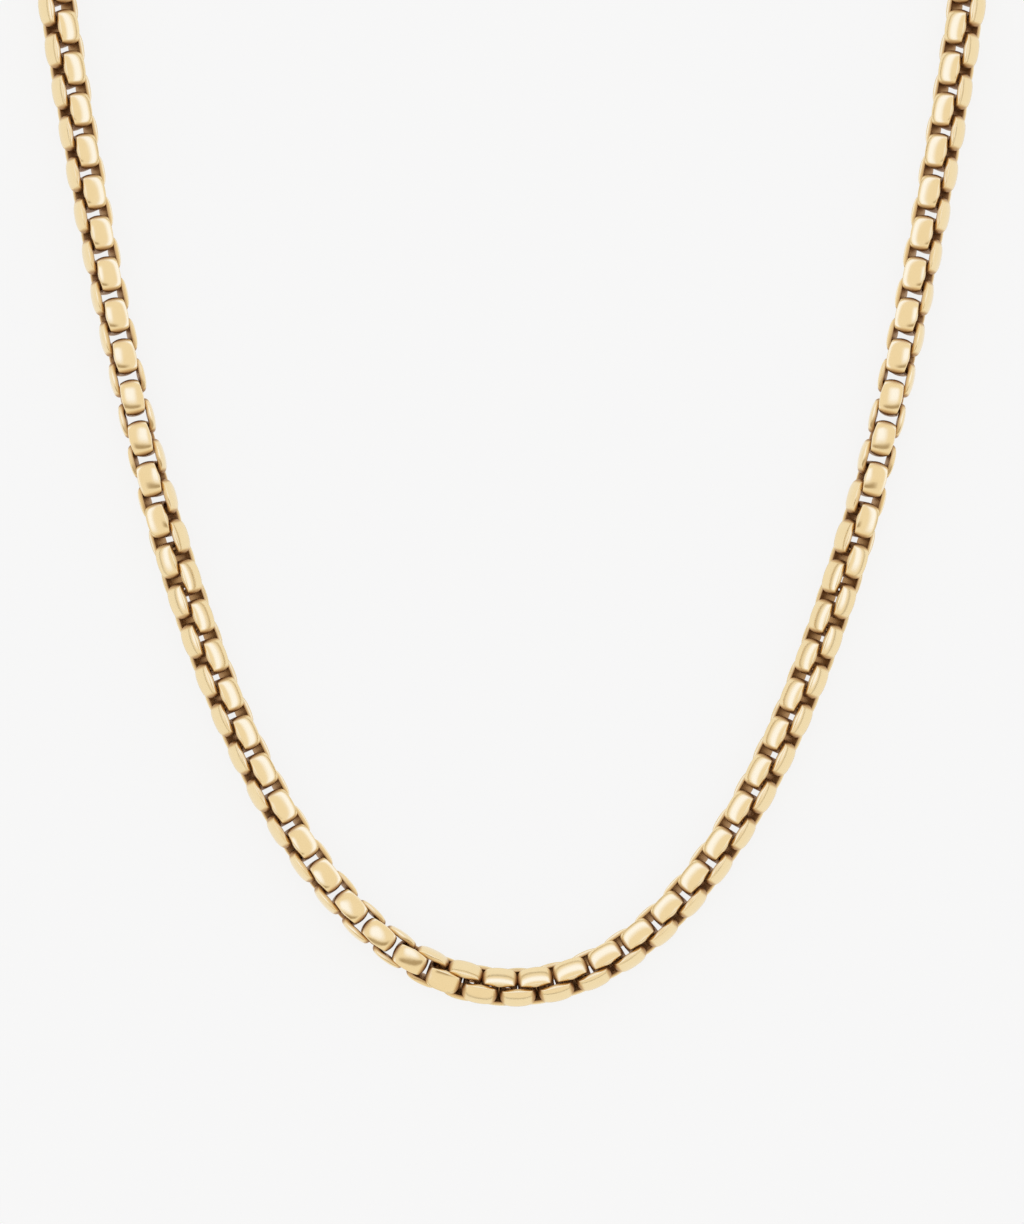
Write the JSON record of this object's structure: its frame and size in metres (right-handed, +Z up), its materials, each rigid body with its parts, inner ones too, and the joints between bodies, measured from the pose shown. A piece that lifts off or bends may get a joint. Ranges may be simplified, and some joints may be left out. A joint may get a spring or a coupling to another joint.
{
  "type": "chain necklace",
  "caption": "Round box-link chain necklace laid out in a U, clasp undone, with jump rings and a hook clasp closed by a sprung lever.",
  "frame": {"origin": "on the table under the centre of the space that the laid-out necklace covers", "axes": "+Z up from the table; +Y from the front of the necklace towards its two undone ends; +X to the right, the side with the clasp"},
  "size_m": [0.134, 0.2395, 0.0053],
  "materials": {
    "gold": "polished yellow gold with a fine soft brushed haze",
    "spring_steel": "bright drawn wire"
  },
  "bodies": {
    "chain_front": {"chain_front": "gold"},
    "chain_left_01": {"chain_left_01": "gold"},
    "chain_left_02": {"chain_left_02": "gold"},
    "chain_left_03": {"chain_left_03": "gold"},
    "chain_left_04": {"chain_left_04": "gold"},
    "chain_left_05": {"chain_left_05": "gold"},
    "chain_left_06": {"chain_left_06": "gold"},
    "chain_left_07": {"chain_left_07": "gold"},
    "chain_left_08": {"chain_left_08": "gold"},
    "chain_left_09": {"chain_left_09": "gold"},
    "chain_left_10": {"chain_left_10": "gold"},
    "chain_left_11": {"chain_left_11": "gold"},
    "chain_left_12": {"chain_left_12": "gold"},
    "chain_left_13": {"chain_left_13": "gold"},
    "chain_left_14": {"chain_left_14": "gold"},
    "chain_left_15": {"chain_left_15": "gold"},
    "chain_left_16": {"chain_left_16": "gold"},
    "chain_left_17": {"chain_left_17": "gold"},
    "chain_left_18": {"chain_left_18": "gold"},
    "chain_left_19": {"chain_left_19": "gold"},
    "chain_left_20": {"chain_left_20": "gold"},
    "chain_left_21": {"chain_left_21": "gold"},
    "chain_right_01": {"chain_right_01": "gold"},
    "chain_right_02": {"chain_right_02": "gold"},
    "chain_right_03": {"chain_right_03": "gold"},
    "chain_right_04": {"chain_right_04": "gold"},
    "chain_right_05": {"chain_right_05": "gold"},
    "chain_right_06": {"chain_right_06": "gold"},
    "chain_right_07": {"chain_right_07": "gold"},
    "chain_right_08": {"chain_right_08": "gold"},
    "chain_right_09": {"chain_right_09": "gold"},
    "chain_right_10": {"chain_right_10": "gold"},
    "chain_right_11": {"chain_right_11": "gold"},
    "chain_right_12": {"chain_right_12": "gold"},
    "chain_right_13": {"chain_right_13": "gold"},
    "chain_right_14": {"chain_right_14": "gold"},
    "chain_right_15": {"chain_right_15": "gold"},
    "chain_right_16": {"chain_right_16": "gold"},
    "chain_right_17": {"chain_right_17": "gold"},
    "chain_right_18": {"chain_right_18": "gold"},
    "chain_right_19": {"chain_right_19": "gold"},
    "chain_right_20": {"chain_right_20": "gold"},
    "chain_right_21": {"chain_right_21": "gold"},
    "catch_ring": {"catch_ring": "gold"},
    "clasp_ring": {"clasp_ring": "gold"},
    "clasp": {"clasp_body": "gold", "clasp_pivot_pin": "gold", "clasp_spring": "spring_steel"},
    "clasp_lever": {"clasp_lever": "gold"}
  },
  "joints": [
    {"name": "lever_open", "type": "hinge", "parent": "clasp", "child": "clasp_lever", "pos_m": [0.03855, 0.11188, 0.0015], "axis": [0, 0, -1], "range_deg": [0, 22], "stiffness_Nm_per_rad": 0.001, "springref_deg": -11.46},
    {"name": "clasp_swivel", "type": "hinge", "parent": "clasp_ring", "child": "clasp", "pos_m": [0.04207, 0.10784, 0.00195], "axis": [0, 0, 1], "range_deg": [-25, 25]},
    {"name": "clasp_ring_swing", "type": "hinge", "parent": "chain_right_21", "child": "clasp_ring", "pos_m": [0.04358, 0.10421, 0.00266], "axis": [0.5934, 0.3853, 0.7067], "range_deg": [-12, 12]},
    {"name": "catch_ring_swing", "type": "hinge", "parent": "chain_left_21", "child": "catch_ring", "pos_m": [-0.04358, 0.10421, 0.00266], "axis": [0, 0, 1], "range_deg": [-25, 25]},
    {"name": "left_01_bend", "type": "hinge", "parent": "chain_front", "child": "chain_left_01", "pos_m": [-0.00693, -0.11629, 0.00266], "axis": [0.1098, 0.6215, -0.7757], "range_deg": [-15, 2]},
    {"name": "left_02_bend", "type": "hinge", "parent": "chain_left_01", "child": "chain_left_02", "pos_m": [-0.01417, -0.11305, 0.00266], "axis": [-0.5808, -0.8138, 0.0194], "range_deg": [-15, 15]},
    {"name": "left_03_bend", "type": "hinge", "parent": "chain_left_02", "child": "chain_left_03", "pos_m": [-0.02438, -0.10413, 0.00266], "axis": [0.1608, 0.153, 0.9751], "range_deg": [-15, 15]},
    {"name": "left_04_bend", "type": "hinge", "parent": "chain_left_03", "child": "chain_left_04", "pos_m": [-0.02968, -0.09702, 0.00266], "axis": [-0.7656, -0.4707, 0.4385], "range_deg": [-15, 15]},
    {"name": "left_05_bend", "type": "hinge", "parent": "chain_left_04", "child": "chain_left_05", "pos_m": [-0.03644, -0.08489, 0.00266], "axis": [-0.4603, -0.233, -0.8567], "range_deg": [-15, 15]},
    {"name": "left_06_bend", "type": "hinge", "parent": "chain_left_05", "child": "chain_left_06", "pos_m": [-0.04011, -0.07656, 0.00266], "axis": [0.729, 0.2846, -0.6226], "range_deg": [-15, 15]},
    {"name": "left_07_bend", "type": "hinge", "parent": "chain_left_06", "child": "chain_left_07", "pos_m": [-0.04491, -0.06344, 0.00266], "axis": [0.6431, 0.2207, 0.7333], "range_deg": [-15, 15]},
    {"name": "left_08_bend", "type": "hinge", "parent": "chain_left_07", "child": "chain_left_08", "pos_m": [-0.04765, -0.05468, 0.00266], "axis": [-0.3821, -0.1091, 0.9177], "range_deg": [-15, 15]},
    {"name": "left_09_bend", "type": "hinge", "parent": "chain_left_08", "child": "chain_left_09", "pos_m": [-0.05132, -0.04117, 0.00266], "axis": [-0.9609, -0.2492, -0.1205], "range_deg": [-15, 15]},
    {"name": "left_10_bend", "type": "hinge", "parent": "chain_left_09", "child": "chain_left_10", "pos_m": [-0.05347, -0.03223, 0.00266], "axis": [-0.2396, -0.0539, -0.9694], "range_deg": [-15, 15]},
    {"name": "left_11_bend", "type": "hinge", "parent": "chain_left_10", "child": "chain_left_11", "pos_m": [-0.05644, -0.01855, 0.00266], "axis": [-0.9226, -0.1923, 0.3343], "range_deg": [-15, 15]},
    {"name": "left_12_bend", "type": "hinge", "parent": "chain_left_11", "child": "chain_left_12", "pos_m": [-0.05821, -0.00952, 0.00266], "axis": [0.4522, 0.0839, 0.888], "range_deg": [-15, 15]},
    {"name": "left_13_bend", "type": "hinge", "parent": "chain_left_12", "child": "chain_left_13", "pos_m": [-0.06069, 0.00426, 0.00266], "axis": [0.8435, 0.1469, -0.5166], "range_deg": [-15, 15]},
    {"name": "left_14_bend", "type": "hinge", "parent": "chain_left_13", "child": "chain_left_14", "pos_m": [-0.06219, 0.01333, 0.00266], "axis": [-0.6004, -0.0948, -0.794], "range_deg": [-15, 15]},
    {"name": "left_15_bend", "type": "hinge", "parent": "chain_left_14", "child": "chain_left_15", "pos_m": [-0.06404, 0.02721, 0.00266], "axis": [-0.7335, -0.0741, 0.6756], "range_deg": [-15, 15]},
    {"name": "left_16_bend", "type": "hinge", "parent": "chain_left_15", "child": "chain_left_16", "pos_m": [-0.06441, 0.0364, 0.00266], "axis": [0.7764, -0.0156, 0.63], "range_deg": [-15, 15]},
    {"name": "left_17_bend", "type": "hinge", "parent": "chain_left_16", "child": "chain_left_17", "pos_m": [-0.06362, 0.05037, 0.00266], "axis": [0.5566, -0.0517, -0.8292], "range_deg": [-15, 15]},
    {"name": "left_18_bend", "type": "hinge", "parent": "chain_left_17", "child": "chain_left_18", "pos_m": [-0.06222, 0.05947, 0.00266], "axis": [-0.8818, 0.1911, -0.4311], "range_deg": [-15, 15]},
    {"name": "left_19_bend", "type": "hinge", "parent": "chain_left_18", "child": "chain_left_19", "pos_m": [-0.05876, 0.07303, 0.00266], "axis": [-0.3355, 0.0987, 0.9368], "range_deg": [-15, 15]},
    {"name": "left_20_bend", "type": "hinge", "parent": "chain_left_19", "child": "chain_left_20", "pos_m": [-0.05564, 0.08168, 0.00266], "axis": [0.8982, -0.387, 0.2084], "range_deg": [-15, 15]},
    {"name": "left_21_bend", "type": "hinge", "parent": "chain_left_20", "child": "chain_left_21", "pos_m": [-0.04964, 0.09432, 0.00266], "axis": [0.1075, -0.0559, -0.9926], "range_deg": [-15, 15]},
    {"name": "right_01_bend", "type": "hinge", "parent": "chain_front", "child": "chain_right_01", "pos_m": [0.00597, -0.11654, 0.00266], "axis": [-0.0927, 0.6798, 0.7275], "range_deg": [-15, 2]},
    {"name": "right_02_bend", "type": "hinge", "parent": "chain_right_01", "child": "chain_right_02", "pos_m": [0.01346, -0.11347, 0.00266], "axis": [0.4759, -0.6999, 0.5326], "range_deg": [-15, 15]},
    {"name": "right_03_bend", "type": "hinge", "parent": "chain_right_02", "child": "chain_right_03", "pos_m": [0.02394, -0.10463, 0.00266], "axis": [0.3577, -0.3494, -0.866], "range_deg": [-15, 15]},
    {"name": "right_04_bend", "type": "hinge", "parent": "chain_right_03", "child": "chain_right_04", "pos_m": [0.02946, -0.09735, 0.00266], "axis": [-0.7059, 0.4383, -0.5564], "range_deg": [-15, 15]},
    {"name": "right_05_bend", "type": "hinge", "parent": "chain_right_04", "child": "chain_right_05", "pos_m": [0.03633, -0.08512, 0.00266], "axis": [-0.5498, 0.2797, 0.7871], "range_deg": [-15, 15]},
    {"name": "right_06_bend", "type": "hinge", "parent": "chain_right_05", "child": "chain_right_06", "pos_m": [0.04007, -0.07666, 0.00266], "axis": [0.6898, -0.2698, 0.6718], "range_deg": [-15, 15]},
    {"name": "right_07_bend", "type": "hinge", "parent": "chain_right_06", "child": "chain_right_07", "pos_m": [0.0449, -0.06349, 0.00266], "axis": [0.6785, -0.233, -0.6966], "range_deg": [-15, 15]},
    {"name": "right_08_bend", "type": "hinge", "parent": "chain_right_07", "child": "chain_right_08", "pos_m": [0.04764, -0.05469, 0.00266], "axis": [-0.4123, 0.1177, -0.9034], "range_deg": [-15, 15]},
    {"name": "right_09_bend", "type": "hinge", "parent": "chain_right_08", "child": "chain_right_09", "pos_m": [0.05132, -0.04118, 0.00266], "axis": [-0.9605, 0.2491, 0.1239], "range_deg": [-15, 15]},
    {"name": "right_10_bend", "type": "hinge", "parent": "chain_right_09", "child": "chain_right_10", "pos_m": [0.05347, -0.03223, 0.00266], "axis": [-0.2724, 0.0613, 0.9602], "range_deg": [-15, 15]},
    {"name": "right_11_bend", "type": "hinge", "parent": "chain_right_10", "child": "chain_right_11", "pos_m": [0.05644, -0.01855, 0.00266], "axis": [-0.9107, 0.1898, -0.367], "range_deg": [-15, 15]},
    {"name": "right_12_bend", "type": "hinge", "parent": "chain_right_11", "child": "chain_right_12", "pos_m": [0.05821, -0.00952, 0.00266], "axis": [0.4764, -0.0884, -0.8748], "range_deg": [-15, 15]},
    {"name": "right_13_bend", "type": "hinge", "parent": "chain_right_12", "child": "chain_right_13", "pos_m": [0.06069, 0.00426, 0.00266], "axis": [0.8347, -0.1454, 0.5312], "range_deg": [-15, 15]},
    {"name": "right_14_bend", "type": "hinge", "parent": "chain_right_13", "child": "chain_right_14", "pos_m": [0.06219, 0.01333, 0.00266], "axis": [-0.5954, 0.094, 0.7979], "range_deg": [-15, 15]},
    {"name": "right_15_bend", "type": "hinge", "parent": "chain_right_14", "child": "chain_right_15", "pos_m": [0.06404, 0.02721, 0.00266], "axis": [-0.7858, 0.0794, -0.6133], "range_deg": [-15, 15]},
    {"name": "right_16_bend", "type": "hinge", "parent": "chain_right_15", "child": "chain_right_16", "pos_m": [0.06441, 0.0364, 0.00266], "axis": [0.6306, 0.0127, -0.776], "range_deg": [-15, 15]},
    {"name": "right_17_bend", "type": "hinge", "parent": "chain_right_16", "child": "chain_right_17", "pos_m": [0.06362, 0.05037, 0.00266], "axis": [0.7642, 0.071, 0.641], "range_deg": [-15, 15]},
    {"name": "right_18_bend", "type": "hinge", "parent": "chain_right_17", "child": "chain_right_18", "pos_m": [0.06222, 0.05947, 0.00266], "axis": [-0.643, -0.1394, 0.753], "range_deg": [-15, 15]},
    {"name": "right_19_bend", "type": "hinge", "parent": "chain_right_18", "child": "chain_right_19", "pos_m": [0.05876, 0.07303, 0.00266], "axis": [-0.714, -0.2099, -0.668], "range_deg": [-15, 15]},
    {"name": "right_20_bend", "type": "hinge", "parent": "chain_right_19", "child": "chain_right_20", "pos_m": [0.05564, 0.08168, 0.00266], "axis": [0.6285, 0.2708, -0.7292], "range_deg": [-15, 15]},
    {"name": "right_21_bend", "type": "hinge", "parent": "chain_right_20", "child": "chain_right_21", "pos_m": [0.04964, 0.09432, 0.00266], "axis": [0.6388, 0.332, 0.694], "range_deg": [-15, 15]}
  ]
}
